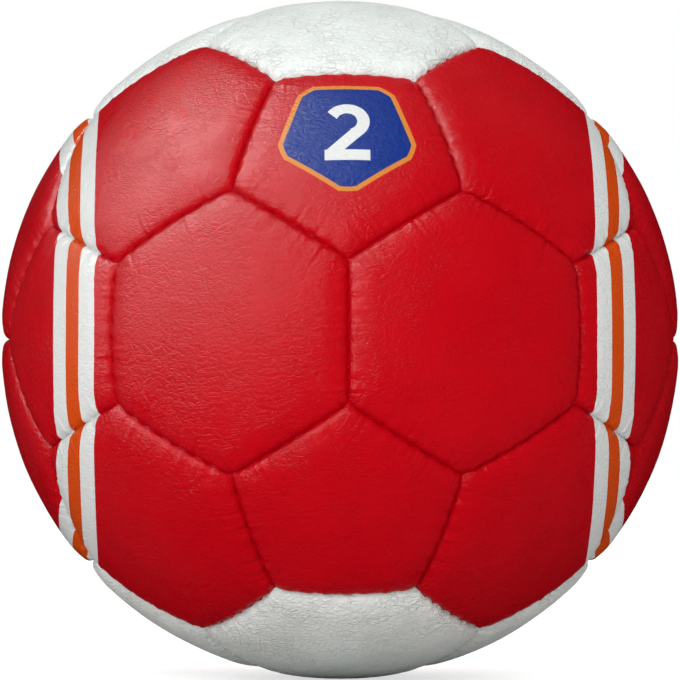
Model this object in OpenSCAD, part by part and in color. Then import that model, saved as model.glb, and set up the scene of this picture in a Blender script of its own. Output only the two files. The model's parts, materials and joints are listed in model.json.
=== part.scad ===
// Stitched handball of 32 panels: 20 hexagons and 12 pentagons round an air bladder.
// Origin at the ball's centre, +Z up, -Y towards the viewer, +X to the viewer's right.
// Every panel is a laminate of skin, foam pad and lining. The skin's edge is turned in
// along every seam and sewn to its neighbour through awl holes.

/* [Ball] */
// Diameter over the crowns of the panels
ball_d = 175; // [150:1:200]
// Thickness of the outer skin
skin_t = 1.3; // [0.8:0.1:1.8]
// Thickness of the foam pad behind the skin
foam_t = 2.6; // [2:0.1:4]
// Thickness of the woven lining behind the foam
lining_t = 1.2; // [0.9:0.1:2]
// Wall of the bladder
bladder_t = 1; // [0.6:0.1:1.6]

/* [Seams] */
// Gap between the turned-in edges of two panels
seam_gap = 0.2; // [0.1:0.05:0.4]
// Distance from the seam at which a panel starts to round over
shoulder_w = 5; // [4:0.25:7]
// Radius of the round-over towards the seam
shoulder_r = 9; // [8:0.5:14]
// Slope of the round-over where it leaves the crown, in degrees
shoulder_slope = 8; // [5:1:12]
// Diameter of the sewing thread
thread_d = 0.6; // [0.4:0.05:0.8]
// Distance from one stitch to the next
stitch_pitch = 4; // [3:0.25:6]
// Length at each end of a seam that has no stitch
seam_end = 3.5; // [3:0.25:6]
// Length clipped off each corner of a panel, where three turned-in edges meet
corner_clip = 0.5; // [0.4:0.1:1]

/* [Valve] */
// Diameter of the valve housing's neck
neck_d = 9; // [8:0.25:12]
// Diameter of the housing's flange inside the bladder
flange_d = 26; // [20:1:32]
// Thickness of the housing's flange
flange_t = 1.2; // [0.8:0.1:2]
// Depth of the housing's barrel below the flange
barrel_depth = 8; // [6:0.5:12]
// Diameter of the plug's shank
plug_d = 5; // [4.5:0.25:5.5]
// Diameter of the plug's head
plug_head_d = 6.6; // [6.2:0.1:7]
// Height of the plug's head
plug_head_h = 1.2; // [0.8:0.1:1.6]
// Diameter of the needle channel
needle_d = 1.9; // [1.6:0.1:2.2]
// Length of the needle channel's straight part
needle_depth = 8; // [6:0.5:9]
// Diameter of the funnel at the channel's mouth
funnel_d = 3.4; // [2.8:0.1:4]
// Diameter of the reinforcing patch round the neck
patch_d = 30; // [22:1:36]
// Thickness of the reinforcing patch
patch_t = 0.4; // [0.3:0.05:0.6]

/* [Fits] */
// Clearance between the layers of a panel
layer_fit = 0.05; // [0.03:0.01:0.1]
// Clearance round the thread, the patch and the bladder
bladder_fit = 0.1; // [0.05:0.01:0.2]
// Clearance round the valve's neck in the panel
neck_fit = 0.2; // [0.1:0.05:0.4]
// Depth of the valve's face below the panel's crown
valve_sink = 0.4; // [0.2:0.1:0.6]

/* [Colours] */
// Colour of the red panels
red_skin = "#bf1022"; // ["#bf1022", "#d8202f"]
// Colour of the white panels
white_skin = "#eceeeb"; // ["#eceeeb", "#ffffff"]

/* [Hidden] */

// Facets of the large round surfaces and of the small ones
$fn = 160;
fine_fn = 48;
// Overrun of every cutting solid
cut = 1;

// Radius through the corners of the solid whose edges are 1 long
corner_share = sqrt(58 + 18 * sqrt(5)) / 4;
// Half of the angle that one seam takes up, seen from the centre
seam_half = asin(1 / (2 * corner_share));
// Panels whose centres are closer than this angle share a seam
neighbour_angle = 60;
// Angle by which cutters and caps pass a panel's corners
corner_margin = 7;

// Radii of the layers, from the crown inwards
crown_r = ball_d / 2;
foam_r = crown_r - skin_t - layer_fit;
lining_r = foam_r - foam_t - layer_fit;
lining_end_r = lining_r - lining_t;
patch_r = lining_end_r - bladder_fit;
bladder_r = patch_r - patch_t - bladder_fit;
flange_end_r = bladder_r + bladder_fit;
bladder_in_r = bladder_r - bladder_t;
// No cutter reaches further in than this
core_r = bladder_in_r * cos(seam_half + corner_margin);

// The stitches run at the middle of the lining's depth
stitch_r = lining_r - lining_t / 2;
// Shares of the thread's diameter: from its axis to the flat, and left in a tight stitch
flat_share = 0.25;
tight_share = 0.5;
// The thread is pressed flat where it lies on the turned-in edge
rail_flat_z = seam_gap / 2 + skin_t + layer_fit;
rail_z = rail_flat_z + thread_d * flat_share;
awl_d = thread_d + bladder_fit;

// Centre of the round-over's arc, measured from the seam's own axis and plane
shoulder_base = sqrt(pow(crown_r, 2) - pow(shoulder_w, 2)) - shoulder_r * cos(shoulder_slope);
shoulder_rise = shoulder_w + shoulder_r * sin(shoulder_slope);

// Directions of the 12 pentagons and the 20 hexagons, from the golden ratio
phi = (1 + sqrt(5)) / 2;
sides_of_hexagon = 6;
sides_of_pentagon = 5;
SIGNS = [-1, 1];
PENTAGONS = [for (a = SIGNS, b = SIGNS) each [[0, a * phi, b], [a, 0, b * phi], [a * phi, b, 0]]];
HEXAGONS = concat(
  [for (a = SIGNS, b = SIGNS, c = SIGNS) [a, b, c]],
  [for (a = SIGNS, b = SIGNS) each [[0, a / phi, b * phi], [a / phi, b * phi, 0], [a * phi, 0, b / phi]]]
);
// The valve sits in the middle of this back panel
VALVE_PLACE = [1 / phi, phi, 0];

function unit(v) = v / norm(v);
// Radius of a panel's corners and of its edges' middles, with edges 1 long
function ring_share(sides) = 1 / (2 * sin(180 / sides));
function apothem_share(sides) = 1 / (2 * tan(180 / sides));
// Angle from a panel's axis to the middle of its edge, and to its corner
function edge_angle(sides) =
  atan(apothem_share(sides) / sqrt(pow(corner_share, 2) - pow(ring_share(sides), 2)));
function corner_angle(sides) = asin(ring_share(sides) / corner_share);
// Half angle of a cone that holds a panel with room to spare
function spread_angle(sides) = corner_angle(sides) + corner_margin;
function touches(a, b) = a != b && unit(a) * unit(b) > cos(neighbour_angle);
function neighbours(place, others) = [for (other = others) if (touches(place, other)) other];

HEX_PENT_SEAMS = [for (h = HEXAGONS) for (p = neighbours(h, PENTAGONS)) [h, p]];
HEX_HEX_SEAMS = [
  for (i = [0:len(HEXAGONS) - 1]) for (j = [i + 1:1:len(HEXAGONS) - 1])
    if (touches(HEXAGONS[i], HEXAGONS[j])) [HEXAGONS[i], HEXAGONS[j]]
];

// Angles of the stitches along a seam, from its middle
stitch_count = floor(2 * seam_half * PI / 180 * stitch_r / stitch_pitch
  - 2 * seam_end / stitch_pitch) + 1;
stitch_step = stitch_pitch / stitch_r * 180 / PI;
STITCH_ANGLES = [for (i = [0:stitch_count - 1]) (i - (stitch_count - 1) / 2) * stitch_step];

// Puts +Z on the direction z and +X as near as it can be to the direction x
module face(z, x) {
  up = unit(z);
  across = unit(x - (x * up) * up);
  side = cross(up, across);
  multmatrix([
    [across[0], side[0], up[0], 0],
    [across[1], side[1], up[1], 0],
    [across[2], side[2], up[2], 0],
    [0, 0, 0, 1]
  ]) children();
}

// Stands a child on a panel's axis, with +X towards one of its edges
module on_hexagon(place) { face(place, neighbours(place, PENTAGONS)[0]) children(); }
module on_pentagon(place) { face(place, neighbours(place, HEXAGONS)[0]) children(); }

// Puts +Z on the outward normal of each seam plane of a panel
module on_seams(sides) {
  for (k = [0:sides - 1])
    rotate([0, 90 + edge_angle(sides), k * 360 / sides]) children();
}

// Puts +Z outwards along the plane that cuts off each corner of a panel
module on_corners(sides) {
  for (k = [0:sides - 1])
    rotate([0, 90 + corner_angle(sides), (k + 0.5) * 360 / sides]) children();
}

// What lies beyond a seam: all past its plane, and the round-over's hollow before it
module seam_cutter(sides, inset) {
  plane_z = seam_gap / 2 + inset;
  reach = crown_r + cut;
  depth = reach * sin(spread_angle(sides));
  span = seam_half + corner_margin;
  mirror([0, 0, 1]) rotate([0, 0, 180 - span]) rotate_extrude(angle = 2 * span) {
    translate([core_r, -depth]) square([reach - core_r, depth + plane_z]);
    difference() {
      translate([shoulder_base, -depth]) square([reach - shoulder_base, depth + shoulder_rise]);
      translate([shoulder_base, shoulder_rise]) circle(r = shoulder_r - inset);
    }
  }
}

// A part of the ball's wall round a panel's axis, wide enough to hold the whole panel
module wall_cap(sides, outer_r, inner_r) {
  reach = outer_r + cut;
  rotate_extrude() intersection() {
    difference() {
      circle(r = outer_r);
      circle(r = inner_r);
    }
    polygon([[0, 0], [reach * tan(spread_angle(sides)), reach], [0, reach]]);
  }
}

// The body of a panel between two radii, drawn in from its seams by an inset
module panel_block(sides, inset, outer_r, inner_r) {
  clip_z = corner_clip + inset / cos(180 / sides);
  difference() {
    wall_cap(sides, outer_r, inner_r);
    on_seams(sides) seam_cutter(sides, inset);
    on_corners(sides) translate([-crown_r, -crown_r, -clip_z]) cube([2 * crown_r, 2 * crown_r, crown_r]);
  }
}

// Hole for the valve's neck along a panel's axis
module neck_hole() {
  translate([0, 0, bladder_in_r - cut])
    cylinder(d = neck_d + 2 * neck_fit, h = crown_r - bladder_in_r + 2 * cut, $fn = fine_fn);
}

// Awl holes through the turned-in edge along each seam
module awl_holes(sides) {
  on_seams(sides) for (angle = STITCH_ANGLES) rotate([0, 0, angle])
    translate([-stitch_r, 0, -seam_gap / 2 - skin_t - cut])
      cylinder(d = awl_d, h = skin_t + seam_gap + 2 * cut, $fn = fine_fn);
}

module panel_skin(sides, valved) {
  difference() {
    panel_block(sides, 0, crown_r, flange_end_r);
    panel_block(sides, skin_t, crown_r - skin_t, flange_end_r - cut);
    awl_holes(sides);
    if (valved) neck_hole();
  }
}

module foam_pad(sides, valved) {
  difference() {
    panel_block(sides, skin_t + layer_fit, foam_r, foam_r - foam_t);
    if (valved) neck_hole();
  }
}

// The lining lies too deep for the round-over to reach it, so its edges are plain
module lining_sheet(sides, valved) {
  plane_z = seam_gap / 2 + skin_t + thread_d + 2 * bladder_fit;
  difference() {
    wall_cap(sides, lining_r, lining_end_r);
    on_seams(sides) translate([-crown_r, -crown_r, -plane_z]) cube([2 * crown_r, 2 * crown_r, crown_r]);
    if (valved) neck_hole();
  }
}

module hexagon_panel(place, tint) {
  color(tint) on_hexagon(place) panel_skin(sides_of_hexagon, place == VALVE_PLACE);
}

module pentagon_panel(place, tint) {
  color(tint) on_pentagon(place) panel_skin(sides_of_pentagon, false);
}

// Hexagon panels, named by where they lie on the ball as the viewer sees it
module hexagon_front_left() { hexagon_panel([-1 / phi, -phi, 0], red_skin); }
module hexagon_front_right() { hexagon_panel([1 / phi, -phi, 0], red_skin); }
module hexagon_back_left() { hexagon_panel([-1 / phi, phi, 0], red_skin); }
module hexagon_back_right() { hexagon_panel([1 / phi, phi, 0], red_skin); }
module hexagon_top_front() { hexagon_panel([0, -1 / phi, phi], white_skin); }
module hexagon_top_back() { hexagon_panel([0, 1 / phi, phi], white_skin); }
module hexagon_bottom_front() { hexagon_panel([0, -1 / phi, -phi], white_skin); }
module hexagon_bottom_back() { hexagon_panel([0, 1 / phi, -phi], white_skin); }
module hexagon_left_upper() { hexagon_panel([-phi, 0, 1 / phi], red_skin); }
module hexagon_left_lower() { hexagon_panel([-phi, 0, -1 / phi], red_skin); }
module hexagon_right_upper() { hexagon_panel([phi, 0, 1 / phi], red_skin); }
module hexagon_right_lower() { hexagon_panel([phi, 0, -1 / phi], red_skin); }
module hexagon_front_left_upper() { hexagon_panel([-1, -1, 1], red_skin); }
module hexagon_front_right_upper() { hexagon_panel([1, -1, 1], red_skin); }
module hexagon_front_left_lower() { hexagon_panel([-1, -1, -1], red_skin); }
module hexagon_front_right_lower() { hexagon_panel([1, -1, -1], red_skin); }
module hexagon_back_left_upper() { hexagon_panel([-1, 1, 1], red_skin); }
module hexagon_back_right_upper() { hexagon_panel([1, 1, 1], red_skin); }
module hexagon_back_left_lower() { hexagon_panel([-1, 1, -1], red_skin); }
module hexagon_back_right_lower() { hexagon_panel([1, 1, -1], red_skin); }

// Pentagon panels
module pentagon_front_upper() { pentagon_panel([0, -phi, 1], red_skin); }
module pentagon_front_lower() { pentagon_panel([0, -phi, -1], red_skin); }
module pentagon_back_upper() { pentagon_panel([0, phi, 1], red_skin); }
module pentagon_back_lower() { pentagon_panel([0, phi, -1], red_skin); }
module pentagon_top_left() { pentagon_panel([-1, 0, phi], white_skin); }
module pentagon_top_right() { pentagon_panel([1, 0, phi], white_skin); }
module pentagon_bottom_left() { pentagon_panel([-1, 0, -phi], white_skin); }
module pentagon_bottom_right() { pentagon_panel([1, 0, -phi], white_skin); }
module pentagon_left_front() { pentagon_panel([-phi, -1, 0], red_skin); }
module pentagon_left_back() { pentagon_panel([-phi, 1, 0], red_skin); }
module pentagon_right_front() { pentagon_panel([phi, -1, 0], red_skin); }
module pentagon_right_back() { pentagon_panel([phi, 1, 0], red_skin); }

module hexagon_foam_pads() {
  color("#f1e7c8") for (place = HEXAGONS)
    on_hexagon(place) foam_pad(sides_of_hexagon, place == VALVE_PLACE);
}

module pentagon_foam_pads() {
  color("#f1e7c8") for (place = PENTAGONS) on_pentagon(place) foam_pad(sides_of_pentagon, false);
}

module hexagon_linings() {
  color("#d9d6cd") for (place = HEXAGONS)
    on_hexagon(place) lining_sheet(sides_of_hexagon, place == VALVE_PLACE);
}

module pentagon_linings() {
  color("#d9d6cd") for (place = PENTAGONS) on_pentagon(place) lining_sheet(sides_of_pentagon, false);
}

// One seam's thread: a run pressed flat along each turned-in edge, joined by the stitches
module seam_stitching() {
  run = STITCH_ANGLES[stitch_count - 1] - STITCH_ANGLES[0] + stitch_step / 2;
  for (side = [0, 1]) mirror([0, 0, side]) rotate([0, 0, -run / 2]) rotate_extrude(angle = run)
    intersection() {
      translate([stitch_r, rail_z]) circle(d = thread_d, $fn = fine_fn);
      translate([stitch_r - thread_d, rail_flat_z]) square(2 * thread_d);
    }
  for (angle = STITCH_ANGLES) rotate([0, 0, angle]) translate([stitch_r, 0, -rail_z])
    cylinder(d = thread_d * tight_share, h = 2 * rail_z, $fn = fine_fn);
}

// Lays a child along the seam between two panels: +X to its middle, +Z across it
module on_seam(a, b, sides) {
  toward = unit(b - (b * unit(a)) * unit(a));
  middle = cos(edge_angle(sides)) * unit(a) + sin(edge_angle(sides)) * toward;
  face(cos(edge_angle(sides)) * toward - sin(edge_angle(sides)) * unit(a), middle) children();
}

module thread_between_hexagons() {
  color("#7c1019") for (pair = HEX_HEX_SEAMS)
    on_seam(pair[0], pair[1], sides_of_hexagon) seam_stitching();
}

module thread_round_pentagons() {
  color("#7c1019") for (pair = HEX_PENT_SEAMS)
    on_seam(pair[0], pair[1], sides_of_hexagon) seam_stitching();
}

module bladder() {
  color("#3a3a3c") on_hexagon(VALVE_PLACE) difference() {
    sphere(r = bladder_r);
    sphere(r = bladder_in_r);
    neck_hole();
  }
}

// Neck, flange and barrel in one moulding, bored for the plug
module valve_housing() {
  flange_top_r = bladder_in_r - layer_fit;
  neck_top = crown_r - valve_sink;
  barrel_end = flange_top_r - flange_t - barrel_depth;
  color("#1c1c1e") on_hexagon(VALVE_PLACE) difference() {
    union() {
      intersection() {
        difference() {
          sphere(r = flange_top_r);
          sphere(r = flange_top_r - flange_t);
        }
        cylinder(d = flange_d, h = crown_r, $fn = fine_fn);
      }
      translate([0, 0, barrel_end]) cylinder(d = neck_d, h = neck_top - barrel_end, $fn = fine_fn);
    }
    translate([0, 0, barrel_end - cut])
      cylinder(d = plug_d + 2 * layer_fit, h = neck_top - barrel_end + 2 * cut, $fn = fine_fn);
    translate([0, 0, neck_top - plug_head_h - layer_fit])
      cylinder(d = plug_head_d + 2 * layer_fit, h = plug_head_h + layer_fit + cut, $fn = fine_fn);
  }
}

// Soft insert: head in the neck's recess, shank down the bore, funnel and needle channel
module valve_plug() {
  neck_top = crown_r - valve_sink;
  shank_end = bladder_in_r - flange_t - barrel_depth;
  funnel_h = (funnel_d - needle_d) / 2;
  color("#8d8f92") on_hexagon(VALVE_PLACE) difference() {
    union() {
      translate([0, 0, shank_end]) cylinder(d = plug_d, h = neck_top - shank_end, $fn = fine_fn);
      translate([0, 0, neck_top - plug_head_h]) cylinder(d = plug_head_d, h = plug_head_h, $fn = fine_fn);
    }
    translate([0, 0, neck_top - funnel_h - needle_depth])
      cylinder(d = needle_d, h = needle_depth + funnel_h + cut, $fn = fine_fn);
    translate([0, 0, neck_top - funnel_h])
      cylinder(d1 = needle_d, d2 = funnel_d, h = funnel_h, $fn = fine_fn);
  }
}

module valve_patch() {
  color("#4a4a4c") on_hexagon(VALVE_PLACE) intersection() {
    difference() {
      sphere(r = patch_r);
      sphere(r = patch_r - patch_t);
    }
    difference() {
      cylinder(d = patch_d, h = crown_r, $fn = fine_fn);
      cylinder(d = neck_d + 2 * neck_fit, h = crown_r, $fn = fine_fn);
    }
  }
}

hexagon_front_left();
hexagon_front_right();
hexagon_back_left();
hexagon_back_right();
hexagon_top_front();
hexagon_top_back();
hexagon_bottom_front();
hexagon_bottom_back();
hexagon_left_upper();
hexagon_left_lower();
hexagon_right_upper();
hexagon_right_lower();
hexagon_front_left_upper();
hexagon_front_right_upper();
hexagon_front_left_lower();
hexagon_front_right_lower();
hexagon_back_left_upper();
hexagon_back_right_upper();
hexagon_back_left_lower();
hexagon_back_right_lower();
pentagon_front_upper();
pentagon_front_lower();
pentagon_back_upper();
pentagon_back_lower();
pentagon_top_left();
pentagon_top_right();
pentagon_bottom_left();
pentagon_bottom_right();
pentagon_left_front();
pentagon_left_back();
pentagon_right_front();
pentagon_right_back();
hexagon_foam_pads();
pentagon_foam_pads();
hexagon_linings();
pentagon_linings();
thread_between_hexagons();
thread_round_pentagons();
bladder();
valve_housing();
valve_plug();
valve_patch();
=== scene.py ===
import json
import math

import bpy
import numpy as np
from mathutils import Matrix, Vector


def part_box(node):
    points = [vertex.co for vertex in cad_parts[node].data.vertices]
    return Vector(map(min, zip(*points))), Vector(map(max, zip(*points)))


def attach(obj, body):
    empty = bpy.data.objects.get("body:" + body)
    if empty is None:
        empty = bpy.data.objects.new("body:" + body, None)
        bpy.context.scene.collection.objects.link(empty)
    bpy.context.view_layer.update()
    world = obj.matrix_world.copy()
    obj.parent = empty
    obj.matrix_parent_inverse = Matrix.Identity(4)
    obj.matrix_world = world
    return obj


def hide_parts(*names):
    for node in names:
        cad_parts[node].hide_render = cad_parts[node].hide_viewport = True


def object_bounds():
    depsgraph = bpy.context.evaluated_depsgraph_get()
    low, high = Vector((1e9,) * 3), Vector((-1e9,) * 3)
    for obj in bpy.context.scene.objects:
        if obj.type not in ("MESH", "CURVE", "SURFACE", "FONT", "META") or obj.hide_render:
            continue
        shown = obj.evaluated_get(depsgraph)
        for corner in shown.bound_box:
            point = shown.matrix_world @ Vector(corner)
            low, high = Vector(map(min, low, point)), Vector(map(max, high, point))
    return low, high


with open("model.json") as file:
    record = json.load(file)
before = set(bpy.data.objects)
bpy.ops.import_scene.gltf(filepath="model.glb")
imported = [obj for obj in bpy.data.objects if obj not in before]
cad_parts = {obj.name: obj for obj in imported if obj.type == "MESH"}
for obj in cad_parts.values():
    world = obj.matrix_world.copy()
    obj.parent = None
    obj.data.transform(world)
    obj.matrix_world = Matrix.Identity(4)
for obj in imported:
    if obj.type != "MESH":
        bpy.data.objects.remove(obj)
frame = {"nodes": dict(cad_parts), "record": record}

cad_low, cad_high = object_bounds()

# The photographer's view: straight in front of the ball, a touch to the left of its middle and
# a touch below it, with the ball's outline touching all four sides of the picture.
crown_r = 87.5e-3            # to the crowns of the panels
image_px = 680
ball_outline_px = 339.5
view_distance = 12.25 * crown_r
eye_direction = Vector((-0.0237, -1.0, -0.0256)).normalized()
bpy.ops.object.select_all(action="DESELECT")
bpy.ops.object.camera_add(location=eye_direction * view_distance)
camera = bpy.context.object
camera.rotation_euler = eye_direction.to_track_quat("Z", "Y").to_euler()
focal_px = ball_outline_px * math.sqrt((view_distance / crown_r) ** 2 - 1)
camera.data.sensor_width = 36
camera.data.lens = focal_px / image_px * camera.data.sensor_width
camera.data.clip_start, camera.data.clip_end = 0.05, 20
bpy.context.scene.camera = camera


# The bladder: a hollow ball of black butyl rubber that holds the air. It is moulded in one
# piece and dusted with talc, so that it slides on the linings when it is blown up.
def linear(red, green, blue):
    """A colour given as the screen's 0 to 255 values."""
    return [(c / 255 / 12.92 if c / 255 <= 0.04045 else ((c / 255 + 0.055) / 1.055) ** 2.4)
            for c in (red, green, blue)] + [1]


def shade_of(colour, share):
    """A darker or lighter shade of a colour."""
    return [min(c * share, 1) for c in colour[:3]] + [1]


def start_finish(name, colour, roughness):
    """A new material: its node tree, its shader and the piece's own coordinates."""
    finish = bpy.data.materials.new(name)
    finish.use_nodes = True
    tree = finish.node_tree
    shader = tree.nodes["Principled BSDF"]
    shader.inputs["Base Color"].default_value = colour
    shader.inputs["Roughness"].default_value = roughness
    return finish, tree, shader, tree.nodes.new("ShaderNodeTexCoord").outputs["Object"]


def texture(tree, kind, place, **values):
    """A texture node of that kind on those coordinates."""
    node = tree.nodes.new("ShaderNodeTex" + kind)
    tree.links.new(place, node.inputs["Vector"])
    for name, value in values.items():
        node.inputs[name].default_value = value
    return node


def join(tree, value, socket):
    """Gives a socket a number or colour, or links another node's output to it."""
    if isinstance(value, bpy.types.NodeSocket):
        tree.links.new(value, socket)
    else:
        socket.default_value = value


def calc(tree, operation, *values):
    """A math node's result."""
    node = tree.nodes.new("ShaderNodeMath")
    node.operation = operation
    for value, socket in zip(values, node.inputs):
        join(tree, value, socket)
    return node.outputs["Value"]


def blend_colours(tree, share, first, second):
    """The first colour where share is 0 and the second where it is 1."""
    node = tree.nodes.new("ShaderNodeMix")
    node.data_type = "RGBA"
    # a mix node also has sockets for numbers and vectors, so the ones for colours go by number
    join(tree, share, node.inputs[0])
    join(tree, first, node.inputs[6])
    join(tree, second, node.inputs[7])
    return node.outputs[2]


def remap(tree, value, low, high, new_low, new_high):
    """A value's range turned into another."""
    node = tree.nodes.new("ShaderNodeMapRange")
    for number, socket in zip((value, low, high, new_low, new_high), node.inputs):
        join(tree, number, socket)
    return node.outputs["Result"]


def emboss(tree, shader, height, distance):
    """Bumps the surface by a height of 0 to 1 times the distance."""
    bump = tree.nodes.new("ShaderNodeBump")
    bump.inputs["Distance"].default_value = distance
    tree.links.new(height, bump.inputs["Height"])
    tree.links.new(bump.outputs["Normal"], shader.inputs["Normal"])


def vary_gloss(tree, shader, cloud, roughness, spread):
    """Makes a finish a little duller in some places and glossier in others."""
    tree.links.new(remap(tree, cloud, 0.3, 0.7, roughness - spread, roughness + spread),
                   shader.inputs["Roughness"])


talc = linear(190, 188, 182)
rubber_grain_h = 0.03e-3


def rubber_finish(name, colour, dusting, roughness):
    """Matt moulded rubber with a fine grain, and some talc on it."""
    finish, tree, shader, place = start_finish(name, colour, roughness)
    cloud = texture(tree, "Noise", place, Scale=60, Detail=4).outputs["Fac"]
    dust = remap(tree, cloud, 0.45, 0.75, 0, dusting)
    tree.links.new(blend_colours(tree, dust, colour, talc), shader.inputs["Base Color"])
    vary_gloss(tree, shader, cloud, roughness, 0.06)
    grain = texture(tree, "Noise", place, Scale=2200, Detail=2).outputs["Fac"]
    emboss(tree, shader, grain, rubber_grain_h)
    return finish


def dress(node, finish):
    """Gives a CAD node its finish, in every slot that it has."""
    piece = frame["nodes"][node]
    piece.data.materials.clear()
    piece.data.materials.append(finish)


butyl = rubber_finish("black_butyl", linear(56, 56, 58), 0.3, 0.62)
dress("bladder", butyl)


# The valve: a housing of firmer rubber bonded in the bladder's hole, its neck reaching up to
# the outer skin, with a soft grey plug pressed in and a reinforcing ring round it.
firm_rubber = rubber_finish("firm_rubber", linear(30, 30, 32), 0.05, 0.5)
dress("valve_housing", firm_rubber)
soft_rubber = rubber_finish("soft_rubber", linear(142, 144, 147), 0.0, 0.45)
dress("valve_plug", soft_rubber)
patch_rubber = rubber_finish("patch_rubber", linear(74, 74, 76), 0.1, 0.6)
dress("valve_patch", patch_rubber)


# The linings: polyester and cotton cloth in layers, glued behind the foam so that the panels
# keep their shape. An unbleached plain weave, seen only with the ball open.
weave_pitch = 1.2e-3
weave_h = 0.1e-3


def cloth_finish(name, colour):
    """Plain weave: ribs in three directions, so that it shows on every side of the ball."""
    finish, tree, shader, place = start_finish(name, colour, 0.85)
    split = tree.nodes.new("ShaderNodeSeparateXYZ")
    tree.links.new(place, split.inputs[0])
    ribs = [calc(tree, "SINE", calc(tree, "MULTIPLY", axis, 2 * math.pi / weave_pitch))
            for axis in split.outputs]
    weave = calc(tree, "MULTIPLY", calc(tree, "MULTIPLY", ribs[0], ribs[1]), ribs[2])
    slub = texture(tree, "Noise", place, Scale=500, Detail=3).outputs["Fac"]
    tree.links.new(blend_colours(tree, slub, shade_of(colour, 0.7), colour),
                   shader.inputs["Base Color"])
    emboss(tree, shader, calc(tree, "ADD", calc(tree, "MULTIPLY", weave, 0.5), slub), weave_h)
    return finish


unbleached_cloth = cloth_finish("unbleached_cloth", linear(217, 214, 205))
for node in ("hexagon_linings", "pentagon_linings"):
    dress(node, unbleached_cloth)


# The foam pads: cream-coloured open-cell foam laminated behind each skin. It gives the ball its
# soft grip and makes the panels swell between the seams.
foam_cream = linear(241, 231, 200)
# a darker copy of the foam's cream, used as painted shade in its cells
foam_painted_shade = linear(214, 196, 150)
foam_cell_h = 0.25e-3
foam_finish, tree, shader, place = start_finish("cream_foam", foam_cream, 0.9)
cells = texture(tree, "Voronoi", place, Scale=1600).outputs["Distance"]
# the foam is painted darker across each cell by its distance: painted shade
tree.links.new(blend_colours(tree, cells, foam_cream, foam_painted_shade), shader.inputs["Base Color"])
emboss(tree, shader, cells, foam_cell_h)
for node in ("hexagon_foam_pads", "pentagon_foam_pads"):
    dress(node, foam_finish)


# The seam thread: waxed polyester, drawn tight through the awl holes of both turned-in edges.
# It lies at the bottom of the seams, behind the leather.
thread_red = linear(124, 16, 25)
# a darker and a lighter copy of the thread's red: painted shade and painted highlight on the
# plies
ply_painted_shade, ply_painted_highlight = linear(92, 10, 18), linear(140, 22, 32)
ply_h = 0.08e-3
thread_finish, tree, shader, place = start_finish("waxed_thread", thread_red, 0.5)
twist = texture(tree, "Wave", place, Scale=900, Distortion=1.5).outputs["Fac"]
# the colour follows the twist's relief, darker in the grooves between the plies and lighter on
# their crowns: painted shade and painted highlight
tree.links.new(blend_colours(tree, twist, ply_painted_shade, ply_painted_highlight), shader.inputs["Base Color"])
emboss(tree, shader, twist, ply_h)
for node in ("thread_between_hexagons", "thread_round_pentagons"):
    dress(node, thread_finish)


# The panels: 20 hexagons and 12 pentagons of grained synthetic leather over the foam. They
# are sewn inside out with the edges turned in, so that every seam is a soft valley. Each kind
# has one flat blank, with a skirt for its edge and back, which is then shaped for each place.
golden = (1 + math.sqrt(5)) / 2
skin_t = 1.3e-3
seam_gap = 0.02e-3
flange_end_r = 81.8e-3       # the turned-in edge's free end
edge_cuts = 80
# how far a corner is from the ball's middle, in edge lengths
corner_share = math.sqrt(58 + 18 * math.sqrt(5)) / 4
skirt_step = 1e-3            # only tells a blank's skirt loops apart
skirt_loops = 10


def edge_angle(sides):
    """From a panel's axis to the middle of its edge, seen from the ball's centre."""
    ring = 1 / (2 * math.sin(math.pi / sides))
    apothem = 1 / (2 * math.tan(math.pi / sides))
    return math.atan(apothem / math.sqrt(corner_share ** 2 - ring ** 2))


def cut_blank(name, sides):
    """A flat panel laid on z = 0, its skirt's loops below it and the last merged to a point."""
    apothem = crown_r * math.tan(edge_angle(sides))
    # so that the middle of an edge lies on +X
    edge_turn = math.radians(18) if sides == 5 else 0
    bpy.ops.object.select_all(action="DESELECT")
    bpy.ops.mesh.primitive_circle_add(
        vertices=sides, radius=apothem / math.cos(math.pi / sides), fill_type="TRIFAN",
        rotation=(0, 0, edge_turn))
    blank = bpy.context.object
    blank.name = name
    bpy.ops.object.transform_apply()
    bpy.ops.object.mode_set(mode="EDIT")
    bpy.ops.mesh.select_all(action="SELECT")
    bpy.ops.mesh.subdivide(number_cuts=edge_cuts - 1)
    bpy.ops.mesh.region_to_loop()
    for loop in range(skirt_loops):
        bpy.ops.mesh.extrude_region_move(TRANSFORM_OT_translate={"value": (0, 0, -skirt_step)})
    bpy.ops.mesh.merge(type="CENTER")
    bpy.ops.mesh.select_all(action="SELECT")
    bpy.ops.mesh.normals_make_consistent(inside=False)
    bpy.ops.object.mode_set(mode="OBJECT")
    bpy.ops.object.shade_smooth()
    return blank


blanks = {6: cut_blank("hexagon_blank", 6), 5: cut_blank("pentagon_blank", 5)}

# How the leather lies on a panel: like a low pillow, dipping into the seams, puckered where
# the stitches pull, and creased all over from being turned right side out.
edge_crowding = 0.58         # how much closer the mesh is at a seam than in the middle
pillow_w, pillow_depth = 7.5e-3, 1.2e-3    # the wide soft slope towards a seam
tuck_w, tuck_depth = 2.0e-3, 1.4e-3        # and the tight roll of the skin down into it
steepest_dip = 0.975         # share of the full dip: at 1 the roll would stand upright
crown_drop = 0.2e-3          # how far a panel's edge lies below its middle
stitch_pitch = 4.9e-3
bulge_h, bulge_reach = 0.32e-3, 1.7e-3     # between two stitches, beside the seam
bulge_start, bulge_pinch = 0.4e-3, 0.7     # weaker right at the seam
bulge_change = 11e-3         # the bulges grow and shrink over this length
pucker_h, pucker_reach = 0.095e-3, 3.6e-3  # the fine folds that run in from a seam
pucker_start = 0.6e-3
pucker_lengths = (1.5e-3, 2.1e-3, 3.1e-3)
pucker_change = 17e-3
seam_sway, sway_reach = 0.34e-3, 7e-3      # how far the stitches pull a seam to and fro
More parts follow.
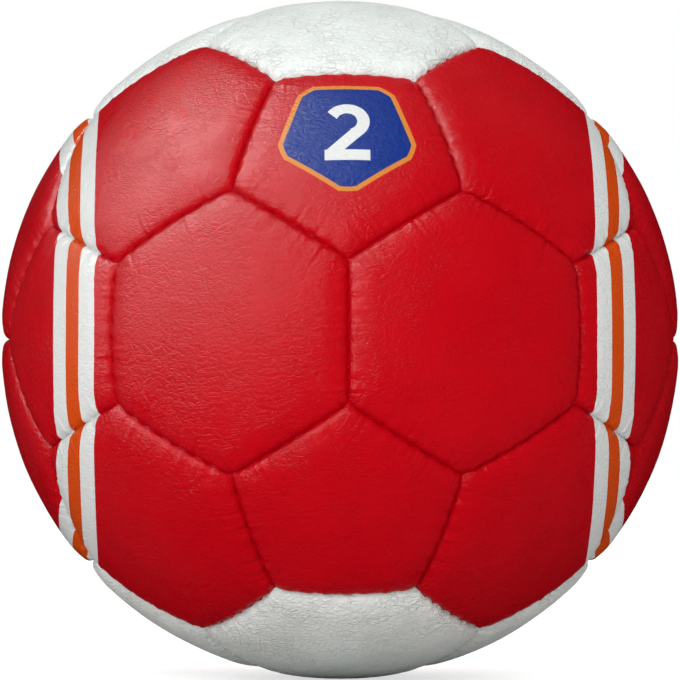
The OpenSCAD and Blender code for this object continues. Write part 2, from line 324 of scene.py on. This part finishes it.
second_sway, second_rate = 0.4, 1.47       # a weaker wave, out of step with the stitches
fold_l, fold_pitch = 5e-3, 1.9e-3          # the long creases
fold_depth, fold_w = 0.05e-3, 0.22
fold_drift, fold_drift_w = 1.2e-3, 12e-3   # they wander
fold_patch_w = 18e-3                       # and come in patches
ripple_l, ripple_pitch, ripple_h = 2.4e-3, 1.4e-3, 0.025e-3    # the short creases
lump_w, lump_h = 16e-3, 0.12e-3            # the unevenness of the padding below
calm_w = 1.5e-3              # beside a seam the skin is drawn smooth
# Each skirt loop's distance from the seam's plane, and its radius
skirt_rows = (
    (0, crown_r - 3.6e-3), (0, flange_end_r + 0.3e-3), (0.25e-3, flange_end_r),
    (skin_t - 0.25e-3, flange_end_r), (skin_t, flange_end_r + 0.3e-3),
    (skin_t, crown_r - 4.2e-3), (3e-3, crown_r - 3.1e-3), (6e-3, crown_r - 2.4e-3),
    (12e-3, crown_r - 1.8e-3), (20e-3, crown_r - 1.6e-3),
)


# a table of unit vectors for the creases, the same on every run
table_size = 256
table_turns = np.random.default_rng(7).uniform(0, 2 * np.pi, (table_size, table_size))
crease_table = np.stack([np.cos(table_turns), np.sin(table_turns)], -1)


def wrinkle_noise(x, y):
    """Smooth noise between -1 and 1 with features about one unit wide."""
    ix, iy = np.floor(x).astype(int), np.floor(y).astype(int)
    fx, fy = x - ix, y - iy
    wx, wy = fx ** 3 * (fx * (fx * 6 - 15) + 10), fy ** 3 * (fy * (fy * 6 - 15) + 10)

    def corner(dx, dy):
        g = crease_table[(ix + dx) % table_size, (iy + dy) % table_size]
        return g[..., 0] * (fx - dx) + g[..., 1] * (fy - dy)

    low = corner(0, 0) * (1 - wx) + corner(1, 0) * wx
    high = corner(0, 1) * (1 - wx) + corner(1, 1) * wx
    return 1.5 * (low * (1 - wy) + high * wy)


def edge_ways(sides):
    """The ways from a panel's middle to the middles of its edges."""
    turn = np.arange(sides) * 2 * np.pi / sides
    return np.stack([np.cos(turn), np.sin(turn)])


def seam_frame(direction, sides):
    """For each vertex and edge: the distance from the seam, and the place along it."""
    tilt = edge_angle(sides)
    toward = edge_ways(sides)
    outward = np.stack([np.cos(tilt) * toward[0], np.cos(tilt) * toward[1],
                        np.full(sides, -np.sin(tilt))])
    along = np.stack([-toward[1], toward[0], np.zeros(sides)])
    return (crown_r * np.arcsin(np.clip(-(direction @ outward), -1, 1)),
            crown_r * np.arcsin(direction @ along))


def pillow_height(off, place, rng):
    """How far the face stands below (negative) the crown at each vertex."""
    height = -crown_drop * (1 - off.min(1) / off.max()) ** 2
    for width, depth, power in ((pillow_w, pillow_depth, 1.0), (tuck_w, tuck_depth, 0.5)):
        near = np.clip(1 - off / width, 0, 1)
        nearest = near.max(1)
        # rounded corners high up the slope, sharp ones at its foot
        dip = (near ** 3).sum(1) ** (1 / 3)
        dip = np.minimum(dip + (nearest - dip) * nearest ** 2, steepest_dip)
        height -= depth * (1 - (1 - dip ** 2) ** power)
    for away, along in zip(off.T, place.T):
        turns = 2 * np.pi * along
        phases = rng.uniform(0, 2 * np.pi, 5)
        # the bulges are bigger in some places than in others
        uneven = 0.75 + 0.25 * np.sin(turns / bulge_change + phases[4])
        fade = np.exp(-away / bulge_reach) * (1 - bulge_pinch * np.exp(-away / bulge_start))
        height += bulge_h * uneven * np.cos(turns / stitch_pitch) * fade
        waves = sum(np.sin(turns / length + phase)
                    for length, phase in zip(pucker_lengths, phases))
        patch = 0.5 + 0.5 * np.sin(turns / pucker_change + phases[3])
        fade = np.exp(-away / pucker_reach) * (1 - np.exp(-away / pucker_start))
        height += pucker_h * waves * patch * fade
    return height


def leather_height(flat, rng):
    """Creases and unevenness of the leather, in the panel's own flat coordinates."""
    lean, shift = rng.uniform(0, np.pi), rng.uniform(0, 200, 2)
    x = flat[:, 0] * np.cos(lean) + flat[:, 1] * np.sin(lean)
    y = -flat[:, 0] * np.sin(lean) + flat[:, 1] * np.cos(lean)
    drift = wrinkle_noise(x / fold_drift_w + shift[0], y / fold_drift_w + shift[1])
    y = y + fold_drift * drift
    long = wrinkle_noise(x / fold_l + shift[1], y / fold_pitch + shift[0])
    short = wrinkle_noise(x / ripple_l - shift[1], y / ripple_pitch + shift[0])
    lumps = wrinkle_noise(flat[:, 0] / lump_w + shift[0], flat[:, 1] / lump_w)
    where = 0.5 + wrinkle_noise(x / fold_patch_w - shift[0], y / fold_patch_w)
    where = np.clip(where, 0, 1)
    folds = -np.maximum(0, 1 - np.abs(long) / fold_w) ** 2
    return fold_depth * folds * where + ripple_h * short + lump_h * lumps


def sway_of(flat, sides, apothem, out):
    """The seams' wave, odd about each seam's middle, so that two neighbours keep together."""
    toward = edge_ways(sides)
    edge = (flat @ toward).argmax(1)
    normal = toward[:, edge].T
    along = flat[:, 1] * normal[:, 0] - flat[:, 0] * normal[:, 1]
    tilt = edge_angle(sides)
    half = math.atan(apothem * math.tan(math.pi / sides) * math.cos(tilt) / crown_r)
    arc = np.arctan(along * math.cos(tilt) / crown_r)
    window = np.clip(1 - np.abs(arc / half) ** 4, 0, 1)
    near = np.clip(1 - (1 - out) * apothem / sway_reach, 0, 1) ** 2
    turns = 2 * np.pi * arc * crown_r / stitch_pitch
    wave = np.sin(turns) + second_sway * np.sin(second_rate * turns)
    return normal * (seam_sway / math.cos(tilt) ** 2 * wave * window * near)[:, None]


def panel_turn(place, others):
    """Stands a blank on its place, with +X towards a neighbour of the other kind."""
    up = Vector(place).normalized()
    nearest = max((Vector(other).normalized() for other in others), key=up.dot)
    across = (nearest - nearest.dot(up) * up).normalized()
    return Matrix((across, up.cross(across), up)).transposed()


def make_panel(name, sides, place, others):
    """One panel on its place, shaped from its blank, with creases of its own."""
    piece = blanks[sides].copy()
    piece.data = blanks[sides].data.copy()
    piece.name = piece.data.name = name
    bpy.context.collection.objects.link(piece)
    rng = np.random.default_rng(sum(map(ord, name)))
    mesh = piece.data
    co = np.empty(len(mesh.vertices) * 3)
    mesh.vertices.foreach_get("co", co)
    co = co.reshape(-1, 3)
    level = np.rint(-co[:, 2] / skirt_step).astype(int)
    face = level == 0
    apothem = crown_r * math.tan(edge_angle(sides))
    # 0 in the panel's middle, 1 on its edge
    out = np.maximum((co[:, :2] @ edge_ways(sides)).max(1) / apothem, 1e-9)
    spread = 1 - edge_crowding + edge_crowding * (1 - out)
    crowd = np.where(face, (1 - (1 - out) * spread) / out, 1)
    inset = np.zeros(len(co))
    radius = np.full(len(co), crown_r)
    for row, (row_inset, row_radius) in enumerate(skirt_rows, 1):
        inset[level == row] = row_inset
        radius[level == row] = row_radius
    # the last loop was merged to one point in the middle of the back
    flat = co[:, :2] * (crowd * (1 - (inset + seam_gap / 2) / apothem))[:, None]
    flat += sway_of(flat, sides, apothem, out)
    direction = np.column_stack([flat, np.full(len(co), crown_r)])
    direction /= np.linalg.norm(direction, axis=1)[:, None]
    off, along = seam_frame(direction[face], sides)
    rise = pillow_height(np.maximum(off - seam_gap / 2, 0), along, rng)
    calm = 1 - np.exp(-off.min(1) / calm_w)
    radius[face] += rise + calm * leather_height(flat[face], rng)
    co = direction * radius[:, None] @ np.array(panel_turn(place, others)).T
    mesh.vertices.foreach_set("co", co.ravel())
    mesh.update()
    return piece


signs = (-1, 1)
pentagon_places = [p for a in signs for b in signs
                   for p in ((0, a * golden, b), (a, 0, b * golden), (a * golden, b, 0))]
hexagon_places = [(a, b, c) for a in signs for b in signs for c in signs]
hexagon_places += [p for a in signs for b in signs
                   for p in ((0, a / golden, b * golden), (a / golden, b * golden, 0),
                             (a * golden, 0, b / golden))]


def place_of(node, places):
    """The place on the ball that a CAD panel takes, found from where its box is."""
    low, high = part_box(node)
    middle = (low + high).normalized()
    return max(places, key=lambda place: middle.dot(Vector(place).normalized()))


# The panel over the valve: a round hole is punched in its middle before it is sewn in. The
# leather's edge is pressed down a little there, round the valve's neck.
valve_panel = "hexagon_back_right"
valve_hole_r = 4.7e-3
valve_lip_w, valve_lip_drop = 1.1e-3, 0.5e-3
punch_h = 12e-3


def cut_valve_hole(piece, place):
    """Lowers the leather round the valve and cuts the hole."""
    axis = Vector(place).normalized()
    mesh = piece.data
    for vertex in mesh.vertices:
        along = vertex.co.dot(axis)
        away = (vertex.co - along * axis).length
        # only the outer face, near the hole
        if along > 0.9 * crown_r and away < 4 * valve_hole_r:
            past_edge = max(away - valve_hole_r, 0) / valve_lip_w
            vertex.co -= valve_lip_drop * math.exp(-(past_edge ** 2)) * axis
    bpy.ops.object.select_all(action="DESELECT")
    bpy.ops.mesh.primitive_cylinder_add(
        vertices=96, radius=valve_hole_r, depth=punch_h, location=axis * crown_r,
        rotation=axis.to_track_quat("Z", "Y").to_euler())
    punch = bpy.context.object
    hole = piece.modifiers.new("hole", "BOOLEAN")
    hole.object = punch
    hole.operation = "DIFFERENCE"
    bpy.ops.object.select_all(action="DESELECT")
    piece.select_set(True)
    bpy.context.view_layer.objects.active = piece
    bpy.ops.object.modifier_apply(modifier="hole")
    bpy.ops.object.shade_smooth_by_angle(angle=math.radians(50))
    bpy.data.objects.remove(punch)


kinds = {"hexagon": (6, hexagon_places, pentagon_places),
         "pentagon": (5, pentagon_places, hexagon_places)}
panels = {}
for node in sorted(frame["nodes"]):
    kind = node.split("_")[0]
    if kind in kinds and not node.endswith(("pads", "linings")):
        sides, places, others = kinds[kind]
        panels[node] = make_panel(node + "_leather", sides, place_of(node, places), others)
cut_valve_hole(panels[valve_panel], place_of(valve_panel, hexagon_places))
for blank in blanks.values():
    bpy.data.objects.remove(blank)

# The leather's finish: a polyurethane skin with an embossed grain, coloured through, satin.
# The red panels carry a printed ring round each side of the ball, white with an orange line.
red = linear(179, 0, 15)
white = linear(222, 227, 223)
ink_white = linear(207, 209, 207)
orange = linear(198, 68, 8)
ring_angle = math.radians(40)
ring_half_w = 8e-3
line_half_w = 2.5e-3
red_gloss, white_gloss = 0.32, 0.4         # as roughness
red_grain_h, white_grain_h = 0.21e-3, 0.5e-3
# how much darker the creases are painted, as painted shade
red_crease_painted_shade, white_crease_painted_shade = 0.28, 0.32
leather_shine = 0.06
crease_drift = 3e-3          # the creases wander
crease_scale = (0.5, 0.5, 1.0)    # and are longer round the ball than up and down it
groove_share = 0.55          # how deep a crease is, against the grain's height
# Two nets of creases: scale, groove width, depth, and a shift of the places where it is worn
crease_nets = ((700, 0.13, 0.8, 0), (1400, 0.2, 0.6, 0.3))


def grained_leather(name, colour, roughness, relief, crease_painted_shade):
    """Leather with a net of creases and a fine grain, slight random changes of tone and gloss,
    and painted shade in the creases.
    """
    finish, tree, shader, place = start_finish(name, colour, roughness)
    shader.inputs["Specular IOR Level"].default_value = leather_shine
    warp = texture(tree, "Noise", place, Scale=110, Detail=5, Roughness=0.6).outputs["Color"]
    drift = tree.nodes.new("ShaderNodeVectorMath")
    drift.operation = "MULTIPLY_ADD"
    tree.links.new(warp, drift.inputs[0])
    drift.inputs[1].default_value = (crease_drift, crease_drift, crease_drift)
    tree.links.new(place, drift.inputs[2])
    lie = tree.nodes.new("ShaderNodeMapping")
    lie.inputs["Scale"].default_value = crease_scale
    tree.links.new(drift.outputs["Vector"], lie.inputs["Vector"])
    swell = texture(tree, "Noise", lie.outputs["Vector"], Scale=720, Detail=3, Roughness=0.6)
    in_crease = None
    for scale, width, depth, shift in crease_nets:
        net = texture(tree, "Voronoi", lie.outputs["Vector"], Scale=scale)
        net.feature = "DISTANCE_TO_EDGE"
        patches = tree.nodes.new("ShaderNodeVectorMath")
        tree.links.new(place, patches.inputs[0])
        patches.inputs[1].default_value = (shift, shift, shift)
        worn = texture(tree, "Noise", patches.outputs["Vector"], Scale=110, Detail=2)
        worn = remap(tree, worn.outputs["Fac"], 0.35, 0.65, 0.1 * depth, depth)
        groove = remap(tree, net.outputs["Distance"], 0, width, 1, 0)
        groove = calc(tree, "MULTIPLY", groove, worn)
        in_crease = groove if in_crease is None else calc(tree, "MAXIMUM", in_crease, groove)
    pebble = texture(tree, "Voronoi", drift.outputs["Vector"], Scale=1300)
    pebble.feature = "SMOOTH_F1"
    grain = calc(tree, "SUBTRACT", swell.outputs["Fac"], pebble.outputs["Distance"])
    grain = calc(tree, "SUBTRACT", calc(tree, "MULTIPLY", grain, 0.5),
                 calc(tree, "MULTIPLY", in_crease, groove_share))
    emboss(tree, shader, grain, relief)
    cloud = texture(tree, "Noise", place, Scale=45, Detail=3).outputs["Fac"]
    vary_gloss(tree, shader, cloud, roughness, 0.05)
    shade = blend_colours(tree, cloud, shade_of(colour, 0.94), shade_of(colour, 1.05))
    # the creases are painted darker than the rest of the leather: painted shade in them
    shade = blend_colours(tree, calc(tree, "MULTIPLY", in_crease, crease_painted_shade),
                          shade, shade_of(colour, 0.5))
    tree.links.new(shade, shader.inputs["Base Color"])
    return finish, tree, shader, place, shade


def print_ring(tree, place, shade):
    """The printed ring: white ink on the red, and an orange line in its middle."""
    across = tree.nodes.new("ShaderNodeVectorMath")
    across.operation = "NORMALIZE"
    tree.links.new(place, across.inputs[0])
    split = tree.nodes.new("ShaderNodeSeparateXYZ")
    tree.links.new(across.outputs["Vector"], split.inputs[0])
    side = calc(tree, "ABSOLUTE", split.outputs["X"])
    for half_w, ink in ((ring_half_w, ink_white), (line_half_w, orange)):
        inner = math.cos(ring_angle - half_w / crown_r)
        outer = math.cos(ring_angle + half_w / crown_r)
        band = calc(tree, "COMPARE", side, (inner + outer) / 2, (inner - outer) / 2)
        shade = blend_colours(tree, band, shade, ink)
    return shade


red_leather, tree, shader, place, shade = grained_leather(
    "red_leather", red, red_gloss, red_grain_h, red_crease_painted_shade)
tree.links.new(print_ring(tree, place, shade), shader.inputs["Base Color"])
white_leather = grained_leather(
    "white_leather", white, white_gloss, white_grain_h, white_crease_painted_shade)[0]

# The size mark: a blue pentagon with rounded corners and a golden edge, printed on the red
# leather of the upper front pentagon, and a white 2 in it, for the ball's size.
blue = linear(2, 42, 124)
gold = linear(196, 122, 44)
mark_rise = math.radians(33.8)
mark_apothem = 15e-3
mark_corner_r = 17e-3
mark_edge_w = 1.2e-3
digit_h, digit_w, digit_stroke = 17e-3, 11e-3, 3e-3
marked_leather, tree, shader, place, shade = grained_leather(
    "marked_leather", red, red_gloss, red_grain_h, red_crease_painted_shade)


def direction_distance(tree, place, direction):
    """How far along a direction each point lies."""
    node = tree.nodes.new("ShaderNodeVectorMath")
    node.operation = "DOT_PRODUCT"
    tree.links.new(place, node.inputs[0])
    node.inputs[1].default_value = direction
    return node.outputs["Value"]


def distance_from(tree, first, second):
    """The distance that two distances at right angles make."""
    squares = [calc(tree, "POWER", part, 2) for part in (first, second)]
    return calc(tree, "SQRT", calc(tree, "ADD", *squares))


def all_of(tree, *tests):
    """1 where every test holds, and else 0."""
    result = tests[0]
    for test in tests[1:]:
        result = calc(tree, "MULTIPLY", result, test)
    return result


across = direction_distance(tree, place, (1, 0, 0))
upward = direction_distance(tree, place, (0, math.sin(mark_rise), math.cos(mark_rise)))
from_middle = distance_from(tree, across, upward)
reach = None
for turn in range(5):
    angle = math.radians(90 + 72 * turn)
    side = calc(tree, "ADD", calc(tree, "MULTIPLY", across, math.cos(angle)),
                calc(tree, "MULTIPLY", upward, math.sin(angle)))
    reach = side if reach is None else calc(tree, "MAXIMUM", reach, side)
for smaller, ink in ((0, gold), (mark_edge_w, blue)):
    inside = all_of(tree, calc(tree, "LESS_THAN", reach, mark_apothem - smaller),
                    calc(tree, "LESS_THAN", from_middle, mark_corner_r - smaller))
    shade = blend_colours(tree, inside, shade, ink)

# the digit: a bow at the top, a slanting stroke from its end, and a bar along the bottom
bow_r = (digit_w - digit_stroke) / 2
bow_y = (digit_h - digit_w) / 2
bow_tail = 0.3               # how far the bow goes on past its middle, in radii
diagonal = math.sqrt(0.5)    # what a step along the diagonal goes each way
bow_end = (bow_r * diagonal, bow_y - bow_r * diagonal)
above_bow = calc(tree, "SUBTRACT", upward, bow_y)
bow_side = calc(tree, "MULTIPLY", calc(tree, "ADD", across, above_bow), diagonal)
bow = all_of(
    tree, calc(tree, "COMPARE", distance_from(tree, across, above_bow), bow_r, digit_stroke / 2),
    calc(tree, "GREATER_THAN", bow_side, -bow_r * bow_tail))
slant_across = calc(tree, "SUBTRACT", calc(tree, "SUBTRACT", across, bow_end[0]),
                    calc(tree, "SUBTRACT", upward, bow_end[1]))
slant_across = calc(tree, "MULTIPLY", slant_across, diagonal)
in_width = calc(tree, "COMPARE", across, 0, digit_w / 2)
slant = all_of(
    tree, calc(tree, "COMPARE", slant_across, 0, digit_stroke / 2),
    calc(tree, "LESS_THAN", bow_side, 0), in_width,
    calc(tree, "GREATER_THAN", upward, -digit_h / 2))
bar = all_of(
    tree, in_width,
    calc(tree, "COMPARE", upward, (digit_stroke - digit_h) / 2, digit_stroke / 2))
digit = calc(tree, "MAXIMUM", calc(tree, "MAXIMUM", bow, slant), bar)
tree.links.new(blend_colours(tree, digit, shade, ink_white), shader.inputs["Base Color"])

slots = {row["node"]: row["material_slot"] for row in frame["record"]["subparts"]}
for node, piece in panels.items():
    piece.data.materials.clear()
    leather = red_leather if slots[node] == "red_skin" else white_leather
    piece.data.materials.append(marked_leather if node == "pentagon_front_upper" else leather)
    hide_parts(node)
    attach(piece, "root")


# The studio: a pale floor under the ball that fades into a white background, a broad soft
# lamp before the ball, one above and behind it, two at the left that only give the leather
# its sheen, and an even light from all round.
floor_w = 12
floor_grey = (0.7, 0.7, 0.7, 1)
floor_glow = 0.62            # added where the camera sees the floor, to fade it into the white
room_light = 0.72            # the even light
bpy.ops.object.select_all(action="DESELECT")
bpy.ops.mesh.primitive_plane_add(size=floor_w, location=(0, 0, cad_low.z))
floor = bpy.context.object
floor.name = "floor"
floor.visible_glossy = False
floor_white, tree, shader, _ = start_finish("floor_white", floor_grey, 0.6)
shader.inputs["Specular IOR Level"].default_value = 0
ray = tree.nodes.new("ShaderNodeLightPath")
shader.inputs["Emission Color"].default_value = (1, 1, 1, 1)
tree.links.new(calc(tree, "MULTIPLY", ray.outputs["Is Camera Ray"], floor_glow),
               shader.inputs["Emission Strength"])
# from below, the floor is clear
under = tree.nodes.new("ShaderNodeNewGeometry")
clear = tree.nodes.new("ShaderNodeBsdfTransparent")
either = tree.nodes.new("ShaderNodeMixShader")
tree.links.new(under.outputs["Backfacing"], either.inputs[0])
tree.links.new(shader.outputs[0], either.inputs[1])
tree.links.new(clear.outputs[0], either.inputs[2])
tree.links.new(either.outputs[0], tree.nodes["Material Output"].inputs["Surface"])
floor.data.materials.append(floor_white)


def soft_lamp(name, place, size, watts):
    """A square panel of light that faces the ball's middle."""
    bpy.ops.object.select_all(action="DESELECT")
    bpy.ops.object.light_add(type="AREA", location=place)
    lamp = bpy.context.object
    lamp.name = name
    lamp.data.size = size
    lamp.data.energy = watts
    lamp.rotation_euler = Vector(place).to_track_quat("Z", "Y").to_euler()
    return lamp


broad_lamp = soft_lamp("broad_lamp", (-0.3, -1.08, 0.28), 0.8, 8.6)
top_lamp = soft_lamp("top_lamp", (0.34, 0.54, 1.19), 1.0, 5.5)
for lamp in (broad_lamp, top_lamp):
    lamp.visible_glossy = False
high_sheen = soft_lamp("high_sheen", (-0.66, -0.16, 0.88), 0.8, 34)
# a tall panel of light close to the ball, leaning over it from the front left
wide_sheen = soft_lamp("wide_sheen", (-0.329, -0.209, 0.328), 0.83, 28)
wide_sheen.data.shape = "RECTANGLE"
wide_sheen.data.size_y = 1.0
wide_sheen.rotation_euler = Vector((-1, -1, 1)).to_track_quat("Z", "Y").to_euler()
for lamp in (high_sheen, wide_sheen):
    lamp.visible_diffuse = False
    lamp.visible_camera = False
    # with it on, a gloss ray that meets the lamp would light the colour too
    lamp.data.cycles.use_multiple_importance_sampling = False

world = bpy.data.worlds.new("studio")
bpy.context.scene.world = world
world.use_nodes = True
tree = world.node_tree
background = tree.nodes["Background"]
background.inputs["Color"].default_value = (1, 1, 1, 1)
ray = tree.nodes.new("ShaderNodeLightPath")
tree.links.new(calc(tree, "MAXIMUM", ray.outputs["Is Camera Ray"], room_light),
               background.inputs["Strength"])
world.cycles_visibility.glossy = False

bpy.context.scene.view_settings.view_transform = "Standard"
